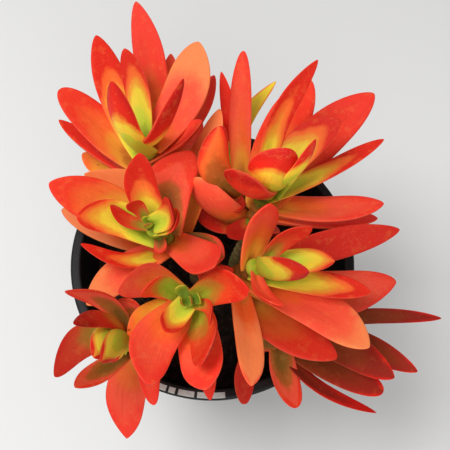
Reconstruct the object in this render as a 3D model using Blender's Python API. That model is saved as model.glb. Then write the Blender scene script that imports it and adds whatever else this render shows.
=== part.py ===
"""Potted crassula: a black nursery pot, its soil, and leafy stems whose paired leaves clasp them.

World frame: origin at the centre of the pot's underside, +X right, +Y back, +Z up.
The tables are in millimetres and degrees; MM turns millimetres into Blender's metres.
"""
import math

import bmesh
import bpy
import numpy as np
from mathutils import Vector, noise

for old in list(bpy.data.objects):
    bpy.data.objects.remove(old, do_unlink=True)

MM = 0.001
GAP = 0.3                  # clearance kept between pieces that touch

# ---------------------------------------------------------------- pot and soil
POT_HEIGHT = 92.0
RIM_RADIUS = 55.0          # outside of the lip
BASE_RADIUS = 38.0
WALL = 1.8
LIP_WIDTH = 3.2            # flat top of the lip
SKIRT_DEPTH = 10.0         # the lip's band runs this far down the outside
FLOOR = 2.2
DRAIN_HOLES = 8
DRAIN_RADIUS = 4.0
DRAIN_RING = 29.0          # the middle of the floor inside this ring stays solid

SOIL_TOP = 74.0            # height of the soil at the wall
SOIL_HEAP = 5.0            # extra height in the middle
SOIL_LUMPS = 0.8           # unevenness of the soil surface

# ---------------------------------------------------------------- stems and leaves
STEM_RADIUS = 1.9
STEM_ROOTED = 7.0          # length of stem below the soil surface
COLLAR_WALL = 1.3          # fused leaf bases round the stem
COLLAR_HEIGHT = 3.0
NODE_SPACING = 3.6         # from one pair of leaves to the next, along the stem

LEAF_STATIONS = (0.0, 0.22, 0.46, 0.68, 0.87, 0.965)
LEAF_SIDES = 6             # points round a leaf
LEAF_THICK = 0.27          # thickness as a share of the width
LEAF_BOW = 0.07            # sag of the blade off its chord, as a share of its length
LEAF_CUP = 0.16            # lift of the margins, as a share of the half width
LEAF_OFFSET = 3.0          # a blade starts this far out from the stem's axis

# Every head, youngest pair of leaves first. crown is the top of the stem, lean the tilt of its
# leafy end and toward the compass heading of that tilt (0 back, 90 right), root the place in the
# soil. A pair is two leaves, each (heading, rise, length, width, sweep, roll), and hangs
# NODE_SPACING lower than the pair before it. sweep is the sideways curve of the blade as a share of
# its length, roll the turn about its own length.
HEADS = {
    "back_left": dict(
        crown=(-23, 27, 132), lean=30, toward=346, root=(-16, 16),
        pairs=[
            ((66, 65, 33, 8, 0.13, -22), (347, 19, 33, 10, 0, -32)),
            ((313, 75, 36, 11, 0.02, -10), (25, 19, 41, 17, 0.06, 17)),
            ((354, 10, 61, 12, 0.04, -8), (54, 14, 21, 10, -0.14, 6)),
            ((337, 11, 54, 14, -0.02, 0), (30, 3, 42, 12, 0, 0)),
            ((314, 7, 47, 16, 0.01, -6), (5, 0, 52, 10, 0, 0)),
            ((307, -2, 45, 8, 0.08, 15), (24, -20, 39, 10, 0, 0)),
            ((307, -18, 38, 14, 0, 2), (36, 6, 40, 8, 0, 0)),
        ]),
    "back_right": dict(
        crown=(20, 11, 132), lean=30, toward=35, root=(8, -2),
        pairs=[
            ((53, 72, 21, 15, 0.12, 8), (69, 64, 28, 7, -0.01, 9)),
            ((49, 26, 33, 13, -0.11, 15), (249, 68, 24, 13, 0.03, 19)),
            ((25, 36, 49, 8, -0.08, 17), (63, 5, 46, 8, -0.02, 0)),
            ((44, 5, 59, 17, -0.05, 15), (86, -5, 42, 14, -0.02, -1)),
            ((22, 8, 54, 17, -0.04, 6), (87, -12, 43, 11, -0.07, -4)),
            ((9, -5, 62, 6, -0.15, 12), (230, 10, 12, 8, 0, 0)),
        ]),
    "middle": dict(
        crown=(9, 13.6, 118.8), lean=46, toward=328, root=(20, -4),
        pairs=[
            ((325, 67, 32, 11, 0.16, -22), (172, 15, 12, 7, 0, 0)),
            ((0, 20, 54, 9, -0.05, 15), (75, -15, 12, 8, 0, 0)),
            ((350, 15, 52, 7, -0.02, 4), (60, -25, 12, 8, 0, 0)),
            ((299, 44, 26, 13, 0.04, 19), (118, -20, 11, 8, 0, 0)),
            ((292, 4, 20, 13, 0.01, -18), (105, -30, 12, 8, 0, 0)),
        ]),
    "left": dict(
        crown=(-20, -4, 132), lean=22, toward=272, root=(-7, -5),
        pairs=[
            ((288, 57, 10, 5, 0.18, -1), (84, 74, 18, 8, 0.09, 30)),
            ((288, 33, 15, 5, -0.09, 8), (100, 65, 15, 8, 0, 0)),
            ((339, 54, 28, 11, -0.1, 22), (173, 43, 18, 7, 0.08, -13)),
            ((269, 39, 31, 12, 0.09, -20), (17, 19, 28, 17, -0.14, 31)),
            ((291, 18, 43, 16, 0.04, -8), (142, 49, 36, 13, -0.03, -15)),
            ((230, 15, 35, 13, 0.09, -8), (114, 20, 18, 13, 0, 0)),
            ((274, -6, 33, 7, -0.08, 14), (17, 15, 50, 11, -0.03, 10)),
            ((292, -7, 48, 13, -0, 1), (304, 18, 40, 13, 0.1, 0)),
        ]),
    "front_left": dict(
        crown=(-30, -40, 116), lean=40, toward=245, root=(-17, -27),
        pairs=[
            ((211, 66, 27, 9, -0.14, 40), (210, 55, 12, 5, 0, 0)),
            ((253, 68, 35, 7, -0.08, 2), (205, 65, 30, 8, -0.11, 32)),
            ((295, 41, 29, 7, 0.13, 14), (226, 31, 26, 9, 0.03, -10)),
            ((300, 0, 14, 8, 0, 0), (254, -22, 34, 12, 0.21, -28)),
            ((195, -30, 35, 15, 0.12, -30), (320, 10, 15, 10, 0, 0)),
        ]),
    "front": dict(
        crown=(-7, -31, 134), lean=18, toward=190, root=(-4, -20),
        pairs=[
            ((300, 75, 5, 4, 0, 0), (130, 70, 5, 4, 0, 0)),
            ((208, 35, 13, 8, 0.04, -1), (152, 54, 19, 4, -0.1, 48)),
            ((250, 58, 22, 7, 0.14, -9), (99, 50, 25, 11, -0.09, 12)),
            ((202, 24, 32, 15, 0.13, -3), (170, 37, 28, 13, -0.05, 38)),
            ((266, 33, 24, 11, 0.2, 0), (170, 28, 34, 15, 0.03, 13)),
            ((232, 20, 24, 14, 0, 0), (60, 5, 15, 12, 0, 0)),
            ((200, -6, 35, 9, 0, 0), (170, -10, 31, 10, -0.02, 2)),
        ]),
    "right": dict(
        crown=(17, -17, 128), lean=35, toward=95, root=(2, -12),
        pairs=[
            ((123, 58, 29, 9, 0.07, -20), (72, 48, 22, 7, -0.02, 6)),
            ((92, 23, 25, 9, -0.07, -3), (151, 34, 19, 7, 0.08, 5)),
            ((29, 55, 25, 12, 0.07, -6), (105, 14, 39, 10, -0.04, -4)),
            ((75, 4, 54, 11, -0.02, 7), (125, 13, 47, 16, -0.09, 14)),
            ((92, -1, 53, 17, 0.08, 6), (174, 19, 40, 11, -0.09, 3)),
            ((129, 3, 43, 15, 0.03, 11), (270, 25, 10, 10, 0, 0)),
        ]),
    "low_right": dict(
        crown=(25, -33, 109), lean=50, toward=122, root=(14, -24),
        pairs=[
            ((87, 1, 53, 6, 0, 7), (238, -12, 11, 11, 0, 0)),
            ((114, -1, 42, 12, -0.06, 10), (164, -23, 27, 11, 0.02, 9)),
            ((106, -9, 54, 10, -0.05, 10), (200, -22, 27, 9, 0.1, 0)),
            ((120, -5, 47, 12, 0.02, -1), (128, -8, 49, 6, 0.09, -20)),
        ]),
}


# ---------------------------------------------------------------- small helpers
def heading_vector(heading, rise):
    """Unit vector for a compass heading and an angle above the horizon."""
    h, r = math.radians(heading), math.radians(rise)
    return np.array([math.sin(h) * math.cos(r), math.cos(h) * math.cos(r), math.sin(r)])


def unit(v):
    return v / np.linalg.norm(v)


def material(name, colour, roughness):
    """A Principled BSDF material with the piece's own colour."""
    mat = bpy.data.materials.new(name)
    mat.use_nodes = True
    bsdf = mat.node_tree.nodes["Principled BSDF"]
    bsdf.inputs["Base Color"].default_value = (*colour, 1.0)
    bsdf.inputs["Roughness"].default_value = roughness
    return mat


def new_object(name, verts, faces, origin=(0.0, 0.0, 0.0)):
    """Object from millimetre vertices; its origin sits at `origin`, also in millimetres."""
    origin = np.asarray(origin, dtype=float)
    mesh = bpy.data.meshes.new(name)
    mesh.from_pydata(((np.asarray(verts) - origin) * MM).tolist(), [], faces)
    obj = bpy.data.objects.new(name, mesh)
    obj.location = Vector(origin * MM)
    bpy.context.collection.objects.link(obj)
    bpy.context.view_layer.update()
    return obj


def loft(rings, first_cap, last_cap):
    """Closed skin over a stack of equal rings, with a point closing each end."""
    n = len(rings[0])
    verts = np.vstack([np.vstack(rings), first_cap, last_cap])
    faces = []
    for k in range(len(rings) - 1):
        a, b = k * n, (k + 1) * n
        faces += [(a + j, a + (j + 1) % n, b + (j + 1) % n, b + j) for j in range(n)]
    first, last, top = len(verts) - 2, len(verts) - 1, (len(rings) - 1) * n
    faces += [(first, (j + 1) % n, j) for j in range(n)]
    faces += [(last, top + j, top + (j + 1) % n) for j in range(n)]
    return verts, faces


def boolean(obj, others, operation):
    """Apply an exact Boolean of obj with every object in others, then discard those."""
    group = bpy.data.collections.new("cutters")
    bpy.context.scene.collection.children.link(group)
    for other in others:
        group.objects.link(other)
    mod = obj.modifiers.new(operation, "BOOLEAN")
    mod.operation, mod.solver = operation, "EXACT"
    mod.operand_type, mod.collection = "COLLECTION", group
    depsgraph = bpy.context.evaluated_depsgraph_get()
    result = bpy.data.meshes.new_from_object(obj.evaluated_get(depsgraph))
    obj.modifiers.clear()
    obj.data = result
    for other in others:
        bpy.data.objects.remove(other, do_unlink=True)
    bpy.data.collections.remove(group)


def keep_main_body(obj):
    """Drop the crumbs that a cut can leave, and weld points that fall together."""
    bm = bmesh.new()
    bm.from_mesh(obj.data)
    bmesh.ops.remove_doubles(bm, verts=bm.verts, dist=0.000005)
    bmesh.ops.dissolve_degenerate(bm, edges=bm.edges, dist=0.000005)
    bm.verts.ensure_lookup_table()
    seen, bodies = set(), []
    for start in bm.verts:
        if start in seen:
            continue
        body, stack = [], [start]
        seen.add(start)
        while stack:
            v = stack.pop()
            body.append(v)
            for edge in v.link_edges:
                w = edge.other_vert(v)
                if w not in seen:
                    seen.add(w)
                    stack.append(w)
        bodies.append(body)
    bodies.sort(key=len)
    for body in bodies[:-1]:
        bmesh.ops.delete(bm, geom=body, context="VERTS")
    bmesh.ops.triangulate(bm, faces=bm.faces)
    bm.to_mesh(obj.data)
    bm.free()


def box_of(obj):
    pts = np.array([tuple(obj.matrix_world @ v.co) for v in obj.data.vertices])
    return pts.min(axis=0), pts.max(axis=0)


def boxes_meet(a, b):
    return bool(np.all(a[0] <= b[1]) and np.all(b[0] <= a[1]))


# ---------------------------------------------------------------- leaf
def leaf_half_width(t):
    """Half width along the leaf as a share of the greatest: broad base, belly at 0.38, acute tip."""
    if t < 0.38:
        return 0.64 + 0.36 * math.sin(0.5 * math.pi * t / 0.38)
    return math.cos(0.5 * math.pi * ((t - 0.38) / 0.62) ** 1.3) ** 0.82


def leaf_thickness(t):
    """Thickness along the leaf as a share of the greatest; it thins to the tip."""
    return (1.12 - 0.12 * t) * (1.0 - t ** 5) ** 0.5


def leaf_solid(base, axis, heading, rise, length, width, sweep, roll, grow=0.0):
    """Rings of a fleshy leaf: flat-topped, keeled below, sagging off its chord and cupped.

    base is on the stem's axis. grow swells the leaf all round, for cutting its neighbours back.
    """
    along = heading_vector(heading, rise)
    face = unit(axis - np.dot(axis, along) * along)       # the upper side looks at the stem's axis
    side = np.cross(along, face)
    turn = math.radians(roll)
    face, side = face * math.cos(turn) + side * math.sin(turn), side * math.cos(turn) - face * math.sin(turn)
    root = base + LEAF_OFFSET * unit(along - np.dot(along, axis) * axis)
    reach = length + grow
    rings = []
    for t in LEAF_STATIONS:
        half = 0.5 * width * leaf_half_width(t) + grow
        thick = 0.5 * width * LEAF_THICK * leaf_thickness(t) + grow
        bend = length * math.sin(math.pi * t)
        centre = root + along * t * reach - face * LEAF_BOW * bend + side * sweep * bend
        ring = []
        for j in range(LEAF_SIDES):
            a = 2.0 * math.pi * j / LEAF_SIDES
            x, z = math.cos(a), math.sin(a)
            lift = LEAF_CUP * half * x * x + thick * z * (0.85 if z > 0 else 1.15)
            ring.append(centre + side * half * x + face * lift)
        rings.append(np.array(ring)[::-1])
    return loft(rings, root - along * (0.4 + grow), root + along * reach)


def tube(points, radii, sides=8, turn=None):
    """Round tube along points, its rings square to the path."""
    points = [np.asarray(p, dtype=float) for p in points]
    rings = []
    ref = None
    for k, p in enumerate(points):
        ahead = points[min(k + 1, len(points) - 1)] - points[max(k - 1, 0)]
        t = unit(ahead)
        if ref is None:
            ref = unit(np.cross(t, (0.3, 0.9, 0.1)) if turn is None else turn)
        u = unit(ref - np.dot(ref, t) * t)
        v = np.cross(t, u)
        ref = u
        a = 2.0 * np.pi * np.arange(sides) / sides
        rings.append(p + radii[k] * (np.outer(np.cos(a), u) + np.outer(np.sin(a), v)))
    return loft(rings, points[0], points[-1])


# ---------------------------------------------------------------- stems
def soil_height(x, y):
    r = math.hypot(x, y) / (RIM_RADIUS - LIP_WIDTH)
    lump = noise.noise(Vector((x * 0.11, y * 0.11, 3.7)))
    return SOIL_TOP + SOIL_HEAP * max(0.0, 1.0 - r * r) + SOIL_LUMPS * lump


def stem_path(head):
    """Points from below the soil to the crown: an upright start that leans over to a straight end."""
    crown = np.array(head["crown"], dtype=float)
    axis = heading_vector(head["toward"], 90.0 - head["lean"])
    straight = NODE_SPACING * (len(head["pairs"]) - 1) + 5.0
    bend_end = crown - axis * straight
    x, y = head["root"]
    soil = np.array([x, y, soil_height(x, y)])
    drop = max(4.0, 0.5 * (bend_end[2] - soil[2]))
    path = [soil - (0, 0, STEM_ROOTED), soil]
    a, b, c = soil, soil + (0, 0, drop), bend_end - axis * drop * 0.6
    for s in (0.2, 0.4, 0.6, 0.8, 1.0):
        q = 1.0 - s
        path.append(q ** 3 * a + 3 * q * q * s * b + 3 * q * s * s * c + s ** 3 * bend_end)
    path.append(crown - axis * (GAP + 1.4))
    return path, axis


def stem_solid(head, grow=0.0):
    path, axis = stem_path(head)
    radii = [STEM_RADIUS * (1.18 if k < 3 else 1.0) + grow for k in range(len(path))]
    if grow:
        path = [path[0] - (0, 0, grow)] + path[1:-1] + [path[-1] + axis * grow]
    return tube(path, radii)


# ---------------------------------------------------------------- pot
def turned(profile, sides):
    """Revolve a closed (radius, height) outline whose first and last points lie on the axis."""
    rings = []
    a = 2.0 * np.pi * np.arange(sides) / sides
    for r, z in profile[1:-1]:
        rings.append(np.column_stack([r * np.cos(a), r * np.sin(a), np.full(sides, z)]))
    first, last = (0.0, 0.0, profile[0][1]), (0.0, 0.0, profile[-1][1])
    return loft(rings, first, last)


def wall_radius(z):
    """Outside of the plain wall: straight taper from the base to the underside of the lip band."""
    top = RIM_RADIUS - LIP_WIDTH - 0.9
    return BASE_RADIUS + (top - BASE_RADIUS) * z / (POT_HEIGHT - SKIRT_DEPTH)


def build_pot():
    band = POT_HEIGHT - SKIRT_DEPTH
    profile = [
        (0.0, 0.0), (BASE_RADIUS - 1.5, 0.0), (wall_radius(1.5), 1.5), (wall_radius(band), band),
        (RIM_RADIUS - 1.3, band), (RIM_RADIUS - 0.1, POT_HEIGHT - 1.4), (RIM_RADIUS - 0.7, POT_HEIGHT - 0.2),
        (RIM_RADIUS - 1.2, POT_HEIGHT), (RIM_RADIUS - LIP_WIDTH, POT_HEIGHT),
        (RIM_RADIUS - LIP_WIDTH - 0.8, POT_HEIGHT - 0.9),
        (wall_radius(band) - WALL, band - 1.0), (wall_radius(FLOOR) - WALL, FLOOR), (0.0, FLOOR),
    ]
    pot = new_object("pot", *turned(profile, 60))
    drills = []
    for k in range(DRAIN_HOLES):
        a = 2.0 * math.pi * (k + 0.5) / DRAIN_HOLES
        x, y = DRAIN_RING * math.cos(a), DRAIN_RING * math.sin(a)
        drills.append(new_object("drill", *tube([(x, y, -2.0), (x, y, FLOOR + 2.0)], [DRAIN_RADIUS] * 2, 16)))
    boolean(pot, drills, "DIFFERENCE")
    keep_main_body(pot)
    pot.data.materials.append(material("pot", (0.012, 0.012, 0.013), 0.42))
    return pot


def build_soil():
    """Soil filling the pot from the floor up, with a low uneven heap on top."""
    sides = 40
    a = 2.0 * np.pi * np.arange(sides) / sides
    rings = []
    for z in (FLOOR + GAP, SOIL_TOP - 1.0):
        r = wall_radius(z) - WALL - GAP
        rings.append(np.column_stack([r * np.cos(a), r * np.sin(a), np.full(sides, z)]))
    edge = wall_radius(SOIL_TOP) - WALL - GAP - 0.3
    for share in (1.0, 0.8, 0.6, 0.4, 0.2):
        x, y = share * edge * np.cos(a), share * edge * np.sin(a)
        rings.append(np.column_stack([x, y, [soil_height(px, py) for px, py in zip(x, y)]]))
    low = (0.0, 0.0, FLOOR + GAP)
    soil = new_object("soil", *loft(rings, low, (0.0, 0.0, soil_height(0.0, 0.0))))
    boolean(soil, [new_object("dibber", *stem_solid(h, GAP)) for h in HEADS.values()], "DIFFERENCE")
    keep_main_body(soil)
    soil.data.materials.append(material("soil", (0.035, 0.024, 0.017), 0.95))
    return soil


# ---------------------------------------------------------------- leaf pairs
def pair_parts(head, k, grow):
    """The two leaves and the collar of pair k, and the point where it clasps the stem."""
    axis = heading_vector(head["toward"], 90.0 - head["lean"])
    node = np.array(head["crown"], dtype=float) - axis * NODE_SPACING * k
    parts = [leaf_solid(node, axis, *leaf, grow=grow) for leaf in head["pairs"][k]]
    half = 0.5 * COLLAR_HEIGHT + grow
    r = STEM_RADIUS + GAP + COLLAR_WALL + grow
    parts.append(tube([node - axis * half, node + axis * half], [r, r]))
    return parts, node, axis


def build_pair(name, head, k):
    """Two opposite leaves fused round the stem as one body, with a bore for the stem."""
    parts, node, axis = pair_parts(head, k, 0.0)
    first, *rest = [new_object(name, *p, origin=node) for p in parts]
    boolean(first, rest, "UNION")
    first.name = name
    stem_top = np.array(head["crown"], dtype=float) - axis * 1.4
    bore = tube([node - axis * 9.0, stem_top], [STEM_RADIUS + GAP] * 2)
    boolean(first, [new_object("bore", *bore)], "DIFFERENCE")
    return first


def relieve(piece, swollen):
    """Cut a piece back wherever a swollen neighbour reaches into it."""
    box = box_of(piece)
    cutters = [(v, f) for lo, hi, v, f in swollen if boxes_meet(box, (lo, hi))]
    if cutters:
        boolean(piece, [new_object("cutter", v, f) for v, f in cutters], "DIFFERENCE")


def swollen_entry(verts, faces):
    verts = np.asarray(verts)
    return verts.min(axis=0) * MM, verts.max(axis=0) * MM, verts, faces


build_pot()
build_soil()
stems = {}
for place, head in HEADS.items():
    stem = new_object(f"stem_{place}", *stem_solid(head))
    stem.data.materials.append(material(f"stem_{place}", (0.20, 0.16, 0.06), 0.6))
    stems[place] = swollen_entry(*stem_solid(head, GAP))

clearances = []
for place, head in HEADS.items():
    others = [entry for name, entry in stems.items() if name != place]
    for k in range(len(head["pairs"])):
        pair = build_pair(f"leaves_{place}_{k + 1}", head, k)
        relieve(pair, clearances + others)
        keep_main_body(pair)
        tint = min(1.0, k / 4.0)
        colour = (0.62 - 0.12 * tint, 0.16 - 0.10 * tint, 0.03)
        pair.data.materials.append(material(pair.name, colour, 0.35))
        clearances += [swollen_entry(*p) for p in pair_parts(head, k, GAP)[0]]

for obj in bpy.data.objects:
    obj.data.shade_smooth()
    obj.data.set_sharp_from_angle(angle=math.radians(40.0))
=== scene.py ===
# %% [markdown]
# # A potted crassula
# A small succulent in a black nursery pot. Pairs of fleshy leaves clasp its stems, each pair turned
# about a quarter from the last, and each leaf runs from lime at the base to hot red at the tip. It
# could be modelled from nothing, but a packed model already fixes every size and place. So that is
# loaded as a frame that never moves, and the fine surfaces and finishes are laid over it.

import math

import bmesh
import bpy
import numpy as np
from mathutils import Matrix, Vector


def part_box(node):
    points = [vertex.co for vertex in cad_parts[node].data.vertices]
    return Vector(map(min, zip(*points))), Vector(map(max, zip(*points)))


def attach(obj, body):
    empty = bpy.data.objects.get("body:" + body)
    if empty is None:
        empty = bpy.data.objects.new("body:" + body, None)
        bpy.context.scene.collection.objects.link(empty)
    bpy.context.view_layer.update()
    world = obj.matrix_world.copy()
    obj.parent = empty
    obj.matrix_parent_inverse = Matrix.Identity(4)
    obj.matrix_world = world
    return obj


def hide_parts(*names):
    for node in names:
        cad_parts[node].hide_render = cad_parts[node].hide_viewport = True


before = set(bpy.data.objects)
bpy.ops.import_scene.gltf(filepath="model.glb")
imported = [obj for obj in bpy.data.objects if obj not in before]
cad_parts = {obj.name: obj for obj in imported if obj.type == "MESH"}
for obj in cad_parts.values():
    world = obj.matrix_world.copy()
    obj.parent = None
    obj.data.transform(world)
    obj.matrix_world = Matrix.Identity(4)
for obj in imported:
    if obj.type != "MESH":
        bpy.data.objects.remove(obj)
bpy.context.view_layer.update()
MM = 0.001  # sizes are written in millimetres and the meshes are in metres
pot_high = np.array(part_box("pot")[1]) / MM
soil_low = np.array(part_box("soil")[0]) / MM

# %% [markdown]
# ## The plan of the plant
# Eight heads share the pot, each a stem with its pairs of leaves. A head has a crown (the top of its
# stem), a lean toward a compass heading (0 is the back, 90 the right) and a root in the soil. A rule
# could scatter the leaves, but a plant's character lies in where each one points, so every leaf is
# written down, in pairs with the youngest first.
#
# Heading and rise say where a leaf points, and roll turns it about its own length, all in degrees.
# Length and width are in millimetres, and sweep is its sideways curve as a share of its length. The
# finish names a leaf skin, blush shifts it toward the colours of the tip, and tone makes it brighter
# or darker: mostly painted light and shade, for how lit or shaded the leaf lies among the others,
# and partly its own colour. Further names change numbers of the form that comes with the leaf surface.

# %% Writing down a head
NODE_SPACING = 3.6  # from one pair to the next along the stem
STEM_RADIUS = 1.9
HEADS = {}


# The brightness factor after blush is mostly painted light and shade, and partly the leaf's own colour.
def leaf(heading, rise, length, width, sweep, roll, finish, blush=0.0, light_and_tone=1.0, form={}):
    """One leaf's numbers by name; form holds what departs from the usual leaf."""
    return dict(heading=heading, rise=rise, length=length, width=width, sweep=sweep, roll=roll,
                finish=finish, blush=blush, light_and_tone=light_and_tone, form=form)


def plan_head(place, crown, lean, toward, root, *pairs):
    """Note down one head under its place in the pot."""
    HEADS[place] = dict(crown=np.array(crown, dtype=float), lean=lean, toward=toward, root=root,
                        pairs=[[leaf(*row) for row in pair] for pair in pairs])
    print(place, "head:", 2 * len(pairs), "leaves")


print("a leaf is:", ", ".join(leaf(0, 0, 40, 12, 0, 0, "fresh")))

# %% Head: back left
plan_head(
    "back_left", (-23, 27, 132), 30, 346, (-16, 16),
    ((66, 65, 33, 11, 0.13, -4, "fresh", 0.13, 1.1),
     (347, 19, 33, 10, 0, -32, "fresh", -0.05, 0.9)),
    ((313, 75, 36, 10, 0.02, -10, "fresh", -0.12, 1.12),
     (25, 19, 41, 17, 0.06, 17, "peach", 0, 0.95)),
    ((354, 10, 61, 12, 0.04, -8, "scarlet", 0, 0.9),
     (66, 36, 22.3, 10, -0.14, 6, "coral", 0.1, 1.1)),
    ((337, 11, 54, 13, -0.02, 0, "fresh", -0.05, 1.06, dict(foot=0.62, cup=0.16)),
     (30, 3, 42, 12, 0, 0, "coral", 0, 0.9)),
    ((314, 7, 47, 15, 0.05, -6, "scarlet", -0.25, 0.9, dict(foot=0.5, point=0.52)),
     (5, 0, 52, 10, 0, 0, "coral", -0.3, 1.2)),
    ((307, -2, 45, 11, 0.05, 15, "ruby", 0.1, 1.15),
     (24, -20, 39, 10, 0, 0, "coral", 0, 1.1)),
    ((307, -18, 38, 14, 0, 2, "ageing", -0.05, 1.2),
     (36, 6, 40, 8, 0, 0, "apricot", 0, 0.9)))

# %% Head: back right
plan_head(
    "back_right", (20, 11, 132), 30, 35, (8, -2),
    ((53, 72, 21, 15, 0.12, 8, "fresh", 0.02, 1.22),
     (69, 64, 28, 7, -0.01, 9, "fresh", -0.2, 1.2)),
    ((49, 26, 33, 13, -0.11, 15, "fresh", -0.12, 0.8),
     (249, 68, 24, 15, 0.03, 19, "coral", 0.05)),
    ((25, 36, 49, 8, -0.08, 17, "fresh", 0.08, 1.05),
     (63, 5, 46, 8, -0.02, 0, "fresh", 0, 0.95)),
    ((44, 5, 59, 17, -0.05, 15, "scarlet", 0, 0.88),
     (86, -5, 42, 14, -0.02, -1, "coral")),
    ((22, 8, 54, 17, -0.04, 6, "scarlet", -0.15, 1.05),
     (87, -12, 43, 14, -0.07, -4, "coral", 0.1, 1.3)),
    ((9, -5, 62, 7, -0.15, 12, "fresh", -0.58, 1.4),
     (230, 10, 9, 8, 0, 0, "ruby", 0.2, 0.55)))

# %% Head: middle
plan_head(
    "middle", (9, 13.6, 118.8), 46, 328, (20, -4),
    ((325, 67, 32, 11, 0.16, -22, "olive", -0.28, 1.15, dict(point=0.52, belly=0.6)),
     (172, 15, 7, 6, 0, 0, "ruby", 0.2, 0.55)),
    ((0, 20, 54, 9, -0.05, 15, "coral", -0.12, 0.92, dict(point=0.5)),
     (75, -15, 12, 8, 0, 0, "olive", 0, 0.9)),
    ((350, 15, 52, 7, -0.02, 4, "scarlet", 0, 1.2),
     (60, -25, 12, 8, 0, 0, "olive", 0, 0.9)),
    ((299, 44, 26, 17, 0.04, 19, "peach", -0.2, 1.05),
     (118, -20, 11, 8, 0, 0, "olive", -0.1, 1.2)),
    ((292, 4, 20, 13, 0.01, -18, "ruby", 0, 0.9),
     (105, -30, 12, 8, 0, 0, "olive", 0, 0.9)))

# %% Head: left
plan_head(
    "left", (-20, -4, 132), 22, 272, (-7, -5),
    ((288, 57, 10, 5, 0.18, -1, "turning", -0.02, 0.85),
     (84, 74, 18, 8, 0.09, 30, "fresh", 0, 0.9)),
    ((288, 33, 15, 5, -0.09, 8, "turning", 0, 0.85),
     (100, 65, 15, 8, 0, 0, "fresh")),
    ((339, 54, 28, 11, -0.1, 22, "fresh", 0.12),
     (178, 10, 5.5, 5, 0, 0, "olive", 0.05, 0.75)),
    ((269, 39, 31, 12, 0.09, -20, "fresh", -0.2, 1.15, dict(point=0.52)),
     (17, 19, 28, 17, -0.14, 31, "olive", 0.14, 0.95)),
    ((291, 18, 43, 16, 0.04, -8, "scarlet", -0.35, 0.92),
     (142, 49, 36, 13, -0.03, -15, "coral", 0.2, 0.95)),
    ((233, -1, 33.9, 13, 0.09, -8, "peach", 0.05),
     (114, 20, 18, 13, 0, 0, "olive", -0.3, 0.8)),
    ((263, 24, 32.7, 7, -0.15, 14, "fresh", 0.12, 1.08),
     (17, 15, 50, 11, -0.03, 10, "apricot", -0.35, 1.2)),
    ((292, -7, 48, 13, 0, 1, "apricot", -0.25, 0.8),
     (304, 20, 42.2, 11, 0.2, 0, "peach", 0.12, 1.1)))

# %% Head: front left
plan_head(
    "front_left", (-30, -40, 116), 40, 245, (-17, -27),
    ((211, 66, 27, 9, -0.14, 40, "fresh", -0.4, 0.95),
     (210, 55, 12, 5, 0, 0, "fresh")),
    ((253, 68, 35, 7, -0.08, 2, "scarlet", -0.3, 0.68),
     (205, 65, 30, 8, -0.11, 32, "fresh", -0.4, 0.75)),
    ((295, 41, 29, 7, 0.13, 14, "olive", 0, 0.75),
     (226, 31, 26, 9, 0.03, -10, "olive", -0.12, 0.75)),
    ((300, 0, 14, 8, 0, 0, "olive", 0, 0.9),
     (254, -22, 34, 12, 0.21, -28, "turning", -0.15, 0.62)),
    ((195, -30, 34.2, 15, 0.12, -30, "coral", 0, 0.85, dict(point=0.85)),
     (320, 10, 15, 10, 0, 0, "olive", 0, 0.9)))

# %% Head: front
plan_head(
    "front", (-7, -31, 134), 18, 190, (-4, -20),
    ((300, 75, 5, 4, 0, 0, "bud", -0.3, 1.1),
     (130, 70, 5, 4, 0, 0, "bud", -0.3)),
    ((208, 35, 13, 8, 0.04, -1, "fresh", -0.05),
     (153, 54, 19.4, 4.6, -0.14, 26, "turning", 0.05, 1.1)),
    ((250, 58, 22, 7, 0.14, -9, "turning", -0.42, 1.2),
     (99, 50, 25, 11, -0.09, 12, "turning", 0, 1.1)),
    ((202, 24, 32, 15, 0.13, -3, "coral", 0, 0.96),
     (170, 37, 28, 13, -0.05, 38, "turning", -0.12)),
    ((266, 33, 24, 11, 0.2, 0, "coral", -0.15, 0.75),
     (170, 28, 34, 15, 0.03, 13, "coral", 0, 1.1)),
    ((232, 20, 24, 14, 0, 0, "ageing", 0, 1.2),
     (60, 5, 15, 12, 0, 0, "olive", 0, 0.9)),
    ((201, -6, 34.5, 9, 0.2, 0, "coral", 0, 0.85, dict(point=0.45)),
     (170, -10, 31, 7, -0.02, 2, "coral", 0, 0.9)))

# %% Head: right
plan_head(
    "right", (17, -17, 128), 35, 95, (2, -12),
    ((123, 58, 29, 9, 0.07, -20, "fresh", -0.2, 0.8),
     (72, 48, 22, 7, -0.02, 6, "turning", 0.05, 1.05)),
    ((92, 23, 25, 9, -0.07, -3, "fresh", -0.29, 0.82),
     (151, 34, 19, 7, 0.08, 5, "coral", 0.3, 1.2)),
    ((29, 55, 25, 12, 0.07, -6, "coral", -0.05, 1.1),
     (105, 14, 39, 10, -0.04, -4, "fresh", -0.1, 0.95)),
    ((75, 4, 54, 11, -0.02, 7, "ruby", 0.15, 0.74),
     (125, 13, 47, 16, -0.09, 14, "peach", -0.15, 0.95)),
    ((92, -1, 53, 17, 0.08, 6, "coral", -0.15, 0.72),
     (174, 19, 40, 11, -0.09, 3, "apricot", -0.15, 1.2)),
    ((129, 3, 43, 15, 0.03, 11, "scarlet", -0.2, 0.68),
     (270, 25, 10, 10, 0, 0, "olive", 0, 0.9)))

# %% Head: low right
plan_head(
    "low_right", (25, -33, 109), 50, 122, (14, -24),
    ((87, 1, 52.8, 6, 0, 7, "dusk", -0.35, 0.85),
     (238, -20, 8, 9, 0, 0, "olive", -0.4, 0.75)),
    ((114, -1, 42, 12, -0.06, 10, "dusk", -0.34, 1.25),
     (164, -23, 27, 11, 0.02, 9, "olive", -0.08, 0.95, dict(point=0.5))),
    ((106, -9, 54, 10, -0.05, 10, "dusk", -0.36, 1.3),
     (200, -22, 27, 11, 0.1, 0, "ruby", -0.1, 0.85, dict(point=0.45))),
    ((120, -5, 47, 12, 0.02, -1, "dusk", -0.34, 1.25, dict(point=0.45)),
     (128, -8, 49, 6, 0.09, -20, "dusk", 0, 0.95)))

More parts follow.
